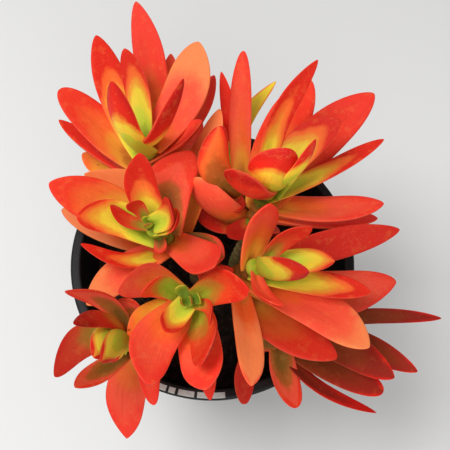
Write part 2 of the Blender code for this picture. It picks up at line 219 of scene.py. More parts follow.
# %% [markdown]
# ## Turning numbers into meshes
# Leaves, stems, pot and soil are closed skins: rows of points that each run once round. They could be
# sculpted by hand, but a skin worked out with numpy on a grid follows its formula exactly, and one
# number reshapes it. One helper joins a grid into faces and closes its ends with a point each.
# Another makes the mesh, with the values that the materials read at its points.

# %% Grid helpers
PLANT = bpy.data.collections.new("plant")
bpy.context.scene.collection.children.link(PLANT)


def unit(v):
    """v divided by its own length, along the last axis."""
    return v / np.maximum(np.linalg.norm(v, axis=-1, keepdims=True), 1e-12)


def heading_vector(heading, rise):
    """East = sin(heading) cos(rise), north = cos(heading) cos(rise), up = sin(rise)."""
    h, r = np.radians(heading), np.radians(rise)
    return np.array([np.sin(h) * np.cos(r), np.cos(h) * np.cos(r), np.sin(r)])


def tube_faces(rows, cols, start=0):
    """Quads between neighbouring rows of a grid closed round its columns, and a fan at each end.

    The grid's points come first, numbered from start, and then its two end points.
    """
    i, j = np.meshgrid(np.arange(rows - 1), np.arange(cols), indexing="ij")
    a, b = i * cols + j, i * cols + (j + 1) % cols
    quads = np.stack([a, b, b + cols, a + cols], axis=-1).reshape(-1, 4) + start
    k = np.arange(cols)
    first, last, top = rows * cols, rows * cols + 1, (rows - 1) * cols
    fans = np.concatenate([
        np.stack([np.full(cols, first), (k + 1) % cols, k], axis=-1),
        np.stack([np.full(cols, last), top + k, top + (k + 1) % cols], axis=-1)]) + start
    return quads.tolist() + fans.tolist()


print("faces of 3 rings of 4 points:", len(tube_faces(3, 4)))

# %% Mesh helper


def make_piece(name, points_mm, faces, materials, attributes={}, slots=None):
    """One smooth object, with values for its points and the numbers of its faces' materials."""
    mesh = bpy.data.meshes.new(name)
    mesh.from_pydata((points_mm * MM).tolist(), [], faces)
    for key, values in attributes.items():
        layer = mesh.attributes.new(key, "FLOAT", "POINT")
        layer.data.foreach_set("value", np.asarray(values, dtype=np.float32))
    for mat in materials:
        mesh.materials.append(mat)
    if slots is not None:
        mesh.polygons.foreach_set("material_index", slots)
    mesh.shade_smooth()
    mesh.validate()
    obj = bpy.data.objects.new(name, mesh)
    PLANT.objects.link(obj)
    return obj


print("collection:", PLANT.name)

# %% [markdown]
# ## Shader building blocks
# A finish is a tree of nodes. They could be wired one link at a time, but it reads better when a
# helper adds and wires a node in one line. Two effects that all leaf skins share are node groups: the
# fine cells of a succulent's skin, and a slow drift that keeps two leaves from being the same red.

# %% Node helper


class Tree:
    """A node tree, with a short call for each kind of node that the finishes use."""

    def __init__(self, tree):
        self.tree = tree

    def fill(self, node, values):
        """Set each named input to a constant, or wire it to another node's output."""
        for key, value in values.items():
            if isinstance(value, bpy.types.NodeSocket):
                self.tree.links.new(value, node.inputs[key])
            else:
                node.inputs[key].default_value = value

    def add(self, kind, values=None, **settings):
        """A new node with its settings made and its inputs filled."""
        node = self.tree.nodes.new("ShaderNode" + kind)
        for key, value in settings.items():
            setattr(node, key, value)
        self.fill(node, values or {})
        return node

    def group(self, group, values):
        """The outputs of a node group placed here with its own values."""
        return self.add("Group", values, node_tree=group).outputs

    def math(self, operation, a, b=0.0):
        """The result of one operation on a, or on a and b."""
        return self.add("Math", {0: a, 1: b}, operation=operation).outputs[0]

    def times(self, a, b):
        return self.math("MULTIPLY", a, b)

    def plus(self, a, b):
        return self.math("ADD", a, b)

    def smooth(self, value, low, high, out_low=0.0, out_high=1.0):
        """Smoothstep of value from low..high to out_low..out_high."""
        values = {0: value, 1: low, 2: high, 3: out_low, 4: out_high}
        return self.add("MapRange", values, interpolation_type="SMOOTHSTEP").outputs[0]

    def mix(self, factor, a, b):
        """The colour a, turning into b as the factor goes from 0 to 1."""
        values = {0: factor, 6: a, 7: b}
        return self.add("Mix", values, data_type="RGBA", clamp_factor=True).outputs[2]

    def ramp(self, value, stops):
        """Colour ramp, eased between its (position, (r, g, b)) stops."""
        node = self.add("ValToRGB", {0: value})
        ramp = node.color_ramp
        ramp.interpolation = "EASE"
        while len(ramp.elements) > 1:
            ramp.elements.remove(ramp.elements[-1])
        for k, (position, colour) in enumerate(stops):
            element = ramp.elements[0] if k == 0 else ramp.elements.new(position)
            element.position, element.color = position, (*colour, 1.0)
        return node.outputs[0]

    def noise(self, vector, scale, detail=3.0, roughness=0.5):
        """Noise with scale cells to the metre."""
        values = {"Vector": vector, "Scale": scale, "Detail": detail, "Roughness": roughness}
        return self.add("TexNoise", values).outputs[0]

    def bump(self, height, strength, distance):
        """A normal tilted by the slope of height, for a relief of distance metres."""
        values = {"Strength": strength, "Distance": distance, "Height": height}
        return self.add("Bump", values).outputs[0]

    def attribute(self, name):
        """The number that the mesh's points carry under this name."""
        return self.add("Attribute", attribute_name=name).outputs["Fac"]

    def place(self):
        """Where a point of the piece is, in metres from the origin."""
        return self.add("TexCoord").outputs["Object"]


print("node calls:", ", ".join(name for name in vars(Tree) if name[0] != "_"))

# %% Starting a group or a material


def new_group(name, inputs, outputs):
    """Empty shader group: a vector input Place, then number inputs and outputs by name."""
    group = bpy.data.node_groups.new(name, "ShaderNodeTree")
    group.interface.new_socket("Place", in_out="INPUT", socket_type="NodeSocketVector")
    for way, keys in (("INPUT", inputs), ("OUTPUT", outputs)):
        for key in keys:
            group.interface.new_socket(key, in_out=way, socket_type="NodeSocketFloat")
    enter, leave = group.nodes.new("NodeGroupInput"), group.nodes.new("NodeGroupOutput")
    return group, Tree(group), enter.outputs, leave


def new_material(name):
    """Material with a Tree to build on and its Principled BSDF."""
    mat = bpy.data.materials.new(name)
    mat.use_nodes = True
    return mat, Tree(mat.node_tree), mat.node_tree.nodes["Principled BSDF"]


print("ready for groups and materials")

# %% Group: succulent skin cells
PORES, PATCHES, LUMPS, GRAIN = 1500.0, 190.0, 420.0, 2600.0  # cells to the metre
LUMP_HEIGHT, GRAIN_HEIGHT = 2.2, 0.35

cells, tree, enter, leave = new_group("skin_cells", [], ["Freckles", "Height"])
place = enter["Place"]
pores = tree.add("TexVoronoi", {"Vector": place, "Scale": PORES}, feature="F1")
dots = tree.smooth(pores.outputs["Distance"], 0.10, 0.34, 1.0, 0.0)
patch = tree.smooth(tree.noise(place, PATCHES, detail=2.0), 0.45, 0.62)
lumps = tree.times(tree.noise(place, LUMPS), LUMP_HEIGHT)
grain = tree.times(tree.noise(place, GRAIN, detail=2.0), GRAIN_HEIGHT)
tree.fill(leave, {"Freckles": tree.times(dots, patch), "Height": tree.plus(lumps, grain)})
print("group:", cells.name, " nodes:", len(cells.nodes))

# %% Group: slow colour drift
BLOTCHES, MOTTLE = 70.0, 320.0  # cells to the metre

drift, tree, enter, leave = new_group("colour_drift", ["Seed"], ["Slow", "Fine"])
offset = tree.add("CombineXYZ", {0: enter["Seed"], 1: enter["Seed"]}).outputs[0]
moved = tree.add("VectorMath", {0: enter["Place"], 1: offset}, operation="ADD").outputs[0]
tree.fill(leave, {"Slow": tree.noise(moved, BLOTCHES, detail=2.0),
                  "Fine": tree.noise(moved, MOTTLE, detail=4.0, roughness=0.6)})
print("group:", drift.name, " nodes:", len(drift.nodes))

# %% [markdown]
# ## Leaf skins
# A crassula grown in strong sun colours from the tip down. Its skin could be painted, but a painting
# fits one leaf and a rule fits them all. So it follows two attributes: `along`, from the clasping base
# to the tip, and `upper`, which tells the channelled upper face from the keeled back. A finish is one
# colour ramp for each face, under the same veins, freckles, pale margin and waxy gloss. A little light
# spreads under the surface, so that the flesh glows.

# %% Leaf palette
GREEN = (0.12, 0.20, 0.015)
LEAFY = (0.28, 0.38, 0.022)
LIME = (0.58, 0.66, 0.045)
YELLOW = (0.90, 0.66, 0.050)
AMBER = (0.88, 0.34, 0.035)
ORANGE = (0.93, 0.15, 0.028)
RED = (0.90, 0.045, 0.018)
SCARLET = (0.93, 0.046, 0.026)
RUBY = (0.73, 0.024, 0.011)
CRIMSON = (0.55, 0.012, 0.008)
MAROON = (0.19, 0.014, 0.006)
RUST = (0.21, 0.032, 0.009)
WINE = (0.26, 0.016, 0.009)
CORAL = (0.95, 0.095, 0.045)
SALMON = (0.96, 0.25, 0.080)
MOSS = (0.34, 0.33, 0.022)
OLIVE = (0.26, 0.11, 0.014)
TAN = (0.50, 0.12, 0.020)
COPPER = (0.50, 0.17, 0.020)
EMBER = (0.74, 0.06, 0.016)
TAWNY = (0.62, 0.19, 0.025)
BROWN = (0.14, 0.038, 0.008)
print("the hottest colour:", SCARLET)

# %% Finishes by name
# finish: (upper face stops, back face stops, how far the tip's colour runs down the margins)
SKINS = {
    "bud": ([(0, GREEN), (0.55, LEAFY), (0.85, LIME), (1, AMBER)],
            [(0, GREEN), (0.6, LEAFY), (0.9, OLIVE), (1, CRIMSON)], 0.15),
    "fresh": ([(0, LEAFY), (0.22, LIME), (0.46, YELLOW), (0.58, AMBER), (0.7, ORANGE), (0.82, RUBY),
               (1, RUBY)],
              [(0, LIME), (0.26, LIME), (0.38, YELLOW), (0.5, YELLOW), (0.58, AMBER), (0.68, RUBY),
               (1, CRIMSON)], 0.32),
    "turning": ([(0, LEAFY), (0.18, MOSS), (0.34, COPPER), (0.52, EMBER), (0.8, RUBY), (1, RUBY)],
                [(0, LEAFY), (0.3, LIME), (0.45, AMBER), (0.6, RUBY), (1, CRIMSON)], 0.26),
    "scarlet": ([(0, TAWNY), (0.14, AMBER), (0.34, ORANGE), (0.6, RED), (1, SCARLET)],
                [(0, TAWNY), (0.2, AMBER), (0.42, RED), (0.8, CRIMSON), (1, MAROON)], 0.24),
    "ruby": ([(0, TAWNY), (0.16, AMBER), (0.36, ORANGE), (0.58, RUBY), (1, RUBY)],
             [(0, OLIVE), (0.2, AMBER), (0.42, RUBY), (0.8, CRIMSON), (1, MAROON)], 0.24),
    "coral": ([(0, TAWNY), (0.14, AMBER), (0.34, ORANGE), (0.65, CORAL), (1, SCARLET)],
              [(0, OLIVE), (0.2, AMBER), (0.45, CORAL), (0.8, RED), (1, CRIMSON)], 0.28),
    "apricot": ([(0, TAWNY), (0.2, ORANGE), (0.45, SALMON), (0.8, SALMON), (1, CORAL)],
                [(0, TAWNY), (0.3, ORANGE), (0.6, SALMON), (1, RED)], 0.25),
    "peach": ([(0, TAWNY), (0.16, ORANGE), (0.36, CORAL), (0.6, CORAL), (0.85, SALMON), (1, SALMON)],
              [(0, TAWNY), (0.16, ORANGE), (0.36, CORAL), (0.7, CORAL), (1, SALMON)], 0.10),
    "olive": ([(0, BROWN), (0.34, OLIVE), (0.6, TAN), (0.76, CORAL), (0.9, CORAL), (1, RED)],
              [(0, OLIVE), (0.34, TAN), (0.58, ORANGE), (0.8, RED), (1, CRIMSON)], 0.50),
    # dusk is painted shade: the reds of the low leaves darkened to brown, rust, wine and maroon, as
    # they lie in the others' shade
    "dusk": ([(0, BROWN), (0.3, RUST), (0.62, WINE), (0.88, CRIMSON), (1, CRIMSON)],
             [(0, BROWN), (0.4, MAROON), (0.8, MAROON), (1, CRIMSON)], 0.30),
    "ageing": ([(0, OLIVE), (0.2, AMBER), (0.45, YELLOW), (0.75, AMBER), (1, ORANGE)],
               [(0, OLIVE), (0.3, AMBER), (0.7, AMBER), (1, ORANGE)], 0.20),
}
print("finishes:", ", ".join(SKINS))

# %% Masks on a leaf
SLOW_DRIFT, FINE_DRIFT = 0.40, 0.14  # how far the colours wander, as shares of the leaf's length
VEIN_SHARE, SPOT_SHARE = 0.22, 0.8


def ripeness(tree, slow, fine, reach):
    """Place on the ramps: the share along, plus drift and blush, plus reach * across squared."""
    wobble = tree.plus(tree.times(slow, SLOW_DRIFT), tree.times(fine, FINE_DRIFT))
    across = tree.math("ABSOLUTE", tree.attribute("across"))
    flame = tree.times(tree.math("POWER", across, 2.0), reach)
    along = tree.plus(tree.plus(tree.attribute("along"), wobble), flame)
    return tree.plus(along, tree.attribute("blush"))


def vein_mask(tree):
    """Noise that changes faster across than along, so that it runs in streaks."""
    streaks = tree.add("CombineXYZ", {
        0: tree.times(tree.attribute("across"), 9.0),
        1: tree.times(tree.attribute("along"), 1.6),
        2: tree.attribute("seed")}).outputs[0]
    return tree.smooth(tree.noise(streaks, 1.6), 0.52, 0.75, 0.0, VEIN_SHARE)


def spot_mask(tree, place):
    """Round spots close to scattered points, wherever a slow noise is high."""
    spots = tree.add("TexVoronoi", {"Vector": place, "Scale": 420.0}, feature="F1")
    mask = tree.times(tree.smooth(spots.outputs["Distance"], 0.10, 0.30, 1.0, 0.0),
                      tree.smooth(tree.noise(place, 150.0), 0.46, 0.60))
    return tree.times(mask, SPOT_SHARE)


print("largest drift:", 0.5 * (SLOW_DRIFT + FINE_DRIFT), "of the leaf")

# %% Leaf skins
VEIN = (0.35, 0.02, 0.01, 1.0)
MOTTLED, MOTTLED_SHARE = (0.98, 0.42, 0.10, 1.0), 0.10
FRECKLE, FRECKLE_SHARE = (0.98, 0.62, 0.30, 1.0), 0.12
MARGIN, MARGIN_SHARE = (0.95, 0.22, 0.09, 1.0), 0.28
AGE_SPOT = (0.16, 0.05, 0.01, 1.0)
SMOOTHEST, ROUGHER = 0.42, 0.24  # the wax's least roughness, and how much the drift adds
GLOSS, SHADED_GLOSS = 0.11, 0.05


def leaf_skin(finish):
    """The waxy skin of one finish: its two ramps, with veins, freckles, spots and margin over them."""
    mat, tree, bsdf = new_material("leaf_" + finish)
    upper_stops, back_stops, reach = SKINS[finish]
    # The dusk finish is painted shade for the low leaves in the others' shade, with fewer freckles and
    # less gloss.
    shaded = finish == "dusk"  # low leaves in the shade are duller, with fewer freckles
    speckle = 0.3 if shaded else 1.0
    place = tree.place()
    drifting = tree.group(drift, {"Place": place, "Seed": tree.attribute("seed")})
    cell = tree.group(cells, {"Place": place})
    slow = tree.math("SUBTRACT", drifting["Slow"], 0.5)
    fine = tree.math("SUBTRACT", drifting["Fine"], 0.5)
    ripe = ripeness(tree, slow, fine, reach)
    upper, back = tree.ramp(ripe, upper_stops), tree.ramp(ripe, back_stops)
    colour = tree.mix(tree.smooth(tree.attribute("upper"), 0.30, 0.62), back, upper)
    colour = tree.mix(vein_mask(tree), colour, VEIN)
    colour = tree.mix(tree.smooth(fine, 0.02, 0.16, 0.0, MOTTLED_SHARE * speckle), colour, MOTTLED)
    freckles = tree.times(cell["Freckles"], FRECKLE_SHARE * speckle)
    colour = tree.mix(freckles, colour, FRECKLE)
    if finish == "ageing":
        colour = tree.mix(spot_mask(tree, place), colour, AGE_SPOT)
    margin = tree.smooth(tree.math("ABSOLUTE", tree.attribute("across")), 0.955, 1.0)
    colour = tree.mix(tree.times(margin, MARGIN_SHARE), colour, MARGIN)
    # Each leaf's brightness factor scales its colour: mostly painted light and shade, partly the leaf's
    # own colour.
    lit_and_toned = tree.add("VectorMath", {0: colour, "Scale": tree.attribute("light_and_tone")}, operation="SCALE")
    tree.fill(bsdf, {
        "Base Color": lit_and_toned.outputs[0],
        "Roughness": tree.plus(tree.times(drifting["Fine"], ROUGHER), SMOOTHEST),
        "Normal": tree.bump(cell["Height"], 0.35, 0.00022),
        "Subsurface Weight": 0.18, "Subsurface Radius": (1.0, 0.32, 0.12), "Subsurface Scale": 0.0022,
        "Specular IOR Level": SHADED_GLOSS if shaded else GLOSS})
    return mat


LEAF_SKINS = {finish: leaf_skin(finish) for finish in SKINS}
print("leaf skins:", ", ".join(mat.name for mat in LEAF_SKINS.values()))

# %% [markdown]
# ## One leaf
# A crassula leaf is a thick, pointed blade. Its outline swells from a broad base to a belly near half
# way and closes in an acute tip. The upper face has a shallow channel, the back is keeled, and the
# margins are rounded. One leaf could be modelled and copied, but copies look alike. A surface of two
# parameters, once along and once round, gives each leaf its own size, curve, sag and slight twist.

# %% The form of a leaf
ROWS, COLS = 54, 30  # points along a leaf and round it
LEAF_OFFSET = 3.0  # from the stem's axis to the foot of a leaf
CLASP = 1.7  # how far the foot is drawn in toward the stem
# bow: sag of the middle toward the back, belly: where it is widest, foot: width share at the base,
# point: 0.5 blunt to 0.9 sharp, cup: lift of the margins
FORM = dict(bow=0.07, belly=0.52, foot=0.62, point=0.66, cup=0.16)
YOUNG = dict(foot=0.84, cup=0.22)  # leaves of the fresh finish
THICKNESS, UPPER_SHARE, BACK_SHARE = 0.25, 0.80, 1.20  # the first as a share of the width
FOOT_CUP = 0.22  # further lift of the margins at the base
GROOVE_DEPTH, GROOVE_WIDTH = 0.55, 0.30  # as shares of half the thickness and half the width
HOOK = 0.02  # lift of the tip, as a share of the length
EDGE_WAVE, TWIST, SWAY = 0.02, 6.0, 0.012  # chance departures: share, degrees, share of the length


def half_width(t, form):
    """Sine rise from the foot's share to 1 at the belly, then a powered cosine down to 0 at the tip."""
    foot, belly = form["foot"], form["belly"]
    rise = foot + (1.0 - foot) * np.sin(0.5 * np.pi * np.clip(t / belly, 0.0, 1.0))
    u = np.clip((t - belly) / (1.0 - belly), 0.0, 1.0)
    return np.where(t < belly, rise, np.cos(0.5 * np.pi * u ** 1.35) ** form["point"])


def leaf_directions(axis, blade):
    """Along the leaf, square to that toward the stem's axis, and sideways. The last two are rolled."""
    along = heading_vector(blade["heading"], blade["rise"])
    face = unit(axis - np.dot(axis, along) * along)
    side = np.cross(along, face)
    c, s = math.cos(math.radians(blade["roll"])), math.sin(math.radians(blade["roll"]))
    return along, face * c + side * s, side * c - face * s


print("half width from foot to tip:", half_width(np.linspace(0.0, 1.0, 6), FORM).round(2))

# %% Leaf surface


def leaf_section(t, x, z, width, form, rng):
    """Distances sideways and upward from the midrib, where x and z run round a circle.

    Sideways: x times the half width, which waves a little. Upward: an ellipse, flatter above than
    below, plus a lift by x squared, less a bell-shaped groove that fades toward the tip. Both then
    turn by the twist times t.
    """
    wave = 1.0 + EDGE_WAVE * np.sin(2.0 * np.pi * (rng.uniform(0.8, 1.7) * t + rng.uniform()))
    half = 0.5 * width * half_width(t, form) * wave
    thick = 0.5 * width * THICKNESS * (1.1 - 0.2 * t) * np.sqrt(np.clip(1.0 - t ** 6, 0.0, 1.0))
    twist = math.radians(rng.uniform(-TWIST, TWIST)) * t
    lift = (form["cup"] + FOOT_CUP * (1.0 - t) ** 3) * half * x ** 2
    groove = GROOVE_DEPTH * thick * np.exp(-(x / GROOVE_WIDTH) ** 2) * np.clip(1.0 - 1.15 * t, 0.0, 1.0)
    height = lift + thick * np.where(z > 0, UPPER_SHARE * z, BACK_SHARE * z) - groove * (z > 0)
    across = half * x
    return (across * np.cos(twist) - height * np.sin(twist),
            across * np.sin(twist) + height * np.cos(twist))


def leaf_surface(base, axis, blade, rng):
    """Points and attributes of one leaf that leaves the stem at base.

    The midrib is the root plus t times the length, less a sine sag toward the back, plus a lift by t
    cubed and a sideways sine sweep, with the foot drawn in by (1 - t) to the sixth. The section goes
    round it, in rows that crowd toward the tip.
    """
    form = {**FORM, **(YOUNG if blade["finish"] == "fresh" else {}), **blade["form"]}
    along, face, side = leaf_directions(axis, blade)
    outward = unit(along - np.dot(along, axis) * axis)
    root, clasp, length = base + LEAF_OFFSET * outward, CLASP * outward, blade["length"]
    t = (1.0 - (1.0 - np.linspace(0.0, 1.0, ROWS)) ** 1.6)[:, None]
    a = (2.0 * np.pi * np.arange(COLS) / COLS)[None, :]
    x, z = np.cos(a), np.sin(a)
    u, w = leaf_section(t, x, z, blade["width"], form, rng)
    bend = np.sin(np.pi * t)
    sag = length * (HOOK * t ** 3 - form["bow"] * bend)
    sway = length * bend * (blade["sweep"] + rng.uniform(-SWAY, SWAY))
    centre = root + along * (t * length)[..., None] + face * sag[..., None] + side * sway[..., None]
    centre = centre - clasp * ((1.0 - t) ** 6)[..., None]
    points = (centre + side * u[..., None] + face * w[..., None])[:, ::-1].reshape(-1, 3)
    tip = root + along * length + face * length * HOOK

    def on_points(values, first=0.0, last=0.0):
        """Grid values in the order of the points, with those of the two closing points."""
        return np.append(np.broadcast_to(values, (ROWS, COLS))[:, ::-1].ravel(), [first, last])

    return np.vstack([points, root - clasp - along * 0.5, tip]), dict(
        along=on_points(t, last=1.0), across=on_points(x), upper=on_points(0.5 + 0.5 * z))


print("points in one leaf:", ROWS * COLS + 2)

# %% [markdown]
# ## Pairs of leaves
# The two leaves of a pair are one piece, because their bases grow together into a collar that clasps
# the stem. A Boolean could join them, but it leaves ragged seams, so they are closed skins that overlap
# inside one mesh. Each pair stands for its plain solid in the frame. Chance varies each leaf a little,
# always from the same seed, so every run is alike.

# %% Gathering skins in one mesh


class LeafPiece:
    """Closed grids in one mesh, with values on their points and skins on their faces."""

    def __init__(self):
        self.points, self.faces, self.slots, self.skins = [], [], [], []
        self.values = {key: [] for key in ("along", "across", "upper", "seed", "blush", "light_and_tone")}

    def add_grid(self, points, rows, cols, skin, values):
        """Take in one grid; a value is one number, or an array for the points."""
        faces = tube_faces(rows, cols, sum(len(p) for p in self.points))
        if skin not in self.skins:
            self.skins.append(skin)
        self.points.append(points)
        self.faces += faces
        self.slots += [self.skins.index(skin)] * len(faces)
        for key, value in values.items():
            self.values[key].append(np.broadcast_to(value, len(points)))

    def add_leaf(self, base, axis, blade, rng, blush_spread=0.0):
        """Take in one leaf, its blush shifted by chance by up to blush_spread."""
        points, values = leaf_surface(base, axis, blade, rng)
        values["seed"] = rng.uniform(0.0, 4.0)
        chance = rng.uniform(-blush_spread, blush_spread) if blush_spread else 0.0
        values["blush"], values["light_and_tone"] = blade["blush"] + chance, blade["light_and_tone"]
        self.add_grid(points, ROWS, COLS, LEAF_SKINS[blade["finish"]], values)

    def make(self, name):
        """One piece of everything taken in."""
        values = {key: np.concatenate(parts) for key, parts in self.values.items()}
        return make_piece(name, np.vstack(self.points), self.faces, self.skins, values, self.slots)


print("values on the points:", ", ".join(LeafPiece().values))

# %% Build the pairs
COLLAR_ROWS, COLLAR_COLS, COLLAR_HALF = 7, 20, 1.4


def ring_tube(centres, radii, sides, reference):
    """Circles of the given radii about centres, square to the path through them."""
    tangent = unit(np.gradient(centres, axis=0))
    u = unit(reference - (tangent @ reference)[:, None] * tangent)
    v = np.cross(tangent, u)
    a = 2.0 * np.pi * np.arange(sides) / sides
    ring = np.cos(a)[None, :, None] * u[:, None] + np.sin(a)[None, :, None] * v[:, None]
    points = (centres[:, None] + radii[:, None, None] * ring).reshape(-1, 3)
    return np.vstack([points, centres[0], centres[-1]])


def head_axis(head):
    """The stem's direction at the head: upright, tipped by the lean toward its heading."""
    return heading_vector(head["toward"], 90.0 - head["lean"])


def collar_tube(node, axis, youngest):
    """A short barrel round the stem, its radius swelling with the root of 1 - 0.75 h squared."""
    h = np.linspace(-1.0, 1.0, COLLAR_ROWS)
    swell, low = (-0.5, 2.4) if youngest else (1.4, 0.4)  # low: how far its middle is below the node
    return ring_tube(node + np.outer(COLLAR_HALF * h - low, axis),
                     STEM_RADIUS + swell * np.sqrt(1.0 - 0.75 * h ** 2), COLLAR_COLS,
                     unit(np.cross(axis, (0.3, 0.9, 0.1))))


def build_pair(place, k):
    """Two leaves and their collar as one piece, where the frame's pair is."""
    head = HEADS[place]
    axis = head_axis(head)
    node = head["crown"] - axis * NODE_SPACING * k
    piece = LeafPiece()
    for side, blade in enumerate(head["pairs"][k]):
        rng = np.random.default_rng(1000 * list(HEADS).index(place) + 10 * k + side)
        piece.add_leaf(node, axis, blade, rng, blush_spread=0.04)
    # The collars of the lower pairs, under the leaves above, are darkened to 0.4: painted shade.
    piece.add_grid(collar_tube(node, axis, k == 0), COLLAR_ROWS, COLLAR_COLS, piece.skins[0],
                   dict(along=0.02, across=0.0, upper=0.5, seed=1.0, blush=0.0,
                        light_and_tone=1.0 if k < 2 else 0.4))
    obj = piece.make(f"crassula_{place}_pair_{k + 1}")
    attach(obj, "root")
    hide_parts(f"leaves_{place}_{k + 1}")
    return obj


pairs = [build_pair(place, k) for place, head in HEADS.items() for k in range(len(head["pairs"]))]
print("pairs:", len(pairs), " faces:", sum(len(p.data.polygons) for p in pairs))

# %% [markdown]
# ## Buds
# Inside some youngest pairs sit the next leaves, still green, pressed together and turned a quarter
# from the pair below. A plain egg would do for a bud, but its two lips show, so it is the same leaf
# surface twice, tiny and almost upright.

# %% Build the buds
BUDS = {"front": 4.2, "left": 4.5, "front_left": 5.0, "back_left": 4.0}  # lengths
BUD_TURN, BUD_SPLAY = 70.0, math.radians(14.0)  # from the head's heading, and from the stem's axis


def build_bud(place, length):
    """Two tiny upright leaves, pressed face to face over the crown."""
    head = HEADS[place]
    axis = head_axis(head)
    rng = np.random.default_rng(500 + list(HEADS).index(place))
    piece = LeafPiece()
    for turn in (BUD_TURN, BUD_TURN + 180.0):
        spread = heading_vector(head["toward"] + turn, 0.0)
        spread = unit(spread - np.dot(spread, axis) * axis)
        way = unit(axis * math.cos(BUD_SPLAY) + spread * math.sin(BUD_SPLAY))
        heading, rise = math.degrees(math.atan2(way[0], way[1])), math.degrees(math.asin(way[2]))
        base = head["crown"] - LEAF_OFFSET * spread * 0.8 - axis * 0.8
        blade = leaf(heading, rise, length, 0.75 * length, 0, 0, "bud", -0.15, 1,
                     dict(bow=0.12, foot=0.85, cup=0.3))
        piece.add_leaf(base, axis, blade, rng)
    obj = piece.make(f"crassula_{place}_bud")
    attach(obj, "root")
    return obj


buds = [build_bud(place, length) for place, length in BUDS.items()]
print("buds:", len(buds))

# %% [markdown]
# ## Stems
# Below the leaves a stem is bare and corky, ringed by the scars of fallen leaves. A curve object with
# a bevel would give an even pipe, but the scars swell it, so it is a tube worked out along a cubic
# curve that rises from the soil, leans over and ends in a straight run.

# %% Stem skin
SCAR_BROWN, SCAR_SHARE = (0.12, 0.06, 0.03, 1.0), 0.7

stem_mat, tree, bsdf = new_material("stem_cork")
place = tree.place()
patch = tree.noise(place, 260.0, detail=4.0, roughness=0.6)
greener = tree.plus(patch, tree.times(tree.attribute("along"), 0.35))
colour = tree.ramp(greener, [(0.35, (0.10, 0.055, 0.025)), (0.6, (0.24, 0.16, 0.05)),
                             (0.85, (0.30, 0.30, 0.06))])
colour = tree.mix(tree.times(tree.attribute("scar"), SCAR_SHARE), colour, SCAR_BROWN)
relief = tree.plus(tree.noise(place, 900.0, detail=4.0), tree.attribute("scar"))
tree.fill(bsdf, {"Base Color": colour, "Roughness": 0.72, "Normal": tree.bump(relief, 0.5, 0.0003)})
print("material:", stem_mat.name)

# %% Build the stems
SOIL_TOP, SOIL_HEAP, SOIL_REACH = 74.0, 5.0, 51.8  # height at the wall, rise in the middle, radius
ROOTED = 5.0  # depth of a stem's foot in the soil
BARE_END = 5.0  # straight stem below the lowest pair
SHORT_OF_CROWN = 2.8
SCAR_HEIGHT, SCAR_WIDTH = 0.22, 0.45
STEM_SIDES = 24


def soil_level(x, y):
    """Height of the heaped soil: highest in the middle, falling with the square of the radius."""
    r = np.hypot(x, y) / SOIL_REACH
    return SOIL_TOP + SOIL_HEAP * np.maximum(0.0, 1.0 - r * r)


def stem_path(head):
    """A cubic curve with the handles a, b, c and end, between two straight ends."""
    axis = head_axis(head)
    straight = NODE_SPACING * (len(head["pairs"]) - 1) + BARE_END
    end = head["crown"] - axis * straight
    a = np.array([*head["root"], float(soil_level(*head["root"]))])
    drop = max(4.0, 0.5 * (end[2] - a[2]))
    b, c = a + np.array([0.0, 0.0, drop]), end - axis * drop * 0.6
    s = np.linspace(0.0, 1.0, 70)[:, None]
    curve = (1 - s) ** 3 * a + 3 * (1 - s) ** 2 * s * b + 3 * (1 - s) * s ** 2 * c + s ** 3 * end
    top = end + np.outer(np.linspace(0.1, straight - SHORT_OF_CROWN, 24), axis)
    return np.vstack([a - np.array([[0, 0, ROOTED]]), curve, top])


def build_stem(place):
    """Circles along the path, of a radius that tapers evenly, plus a bell-shaped ridge at each scar."""
    path = stem_path(HEADS[place])
    run = np.concatenate([[0.0], np.cumsum(np.linalg.norm(np.diff(path, axis=0), axis=1))])
    scar = np.exp(-((run % NODE_SPACING - 0.5 * NODE_SPACING) / SCAR_WIDTH) ** 2)
    radius = (STEM_RADIUS * (1.12 - 0.12 * run / run[-1])) + SCAR_HEIGHT * scar
    points = ring_tube(path, radius, STEM_SIDES, np.array([0.96, 0.2, 0.1]))
    values = {key: np.append(np.repeat(v, STEM_SIDES), [v[0], v[-1]])
              for key, v in (("along", run / run[-1]), ("scar", scar))}
    faces = tube_faces(len(path), STEM_SIDES)
    obj = make_piece(f"stem_{place}_bark", points, faces, [stem_mat], values)
    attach(obj, "root")
    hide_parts(f"stem_{place}")
    return run[-1]


lengths = [build_stem(place) for place in HEADS]
print("stem lengths in mm:", [round(v, 1) for v in lengths])

# %% [markdown]
# ## Pot
# A nursery pot is thin black plastic with a rolled lip above a tapering wall, dusty in patches and
# scuffed along the lip, which carries a few pale blocks. The frame's solid has the right sizes but
# coarse facets, so the profile is turned finely here, and only the drain holes are cut with a Boolean.
# The blocks lie flat, so they are a mask in the finish.

# %% Group: pale blocks on the lip
BLOCKS = [(-112.0, -107.6), (-106.8, -104.0), (-103.0, -96.5), (-95.6, -90.6), (-89.8, -84.6)]
BLOCK_EDGE = 0.25  # degrees over which the end of a block fades
INNER_EDGE, OUTER_EDGE, LIP_FLAT = (0.05225, 0.05235), (0.05430, 0.05440), (0.0905, 0.0910)  # metres

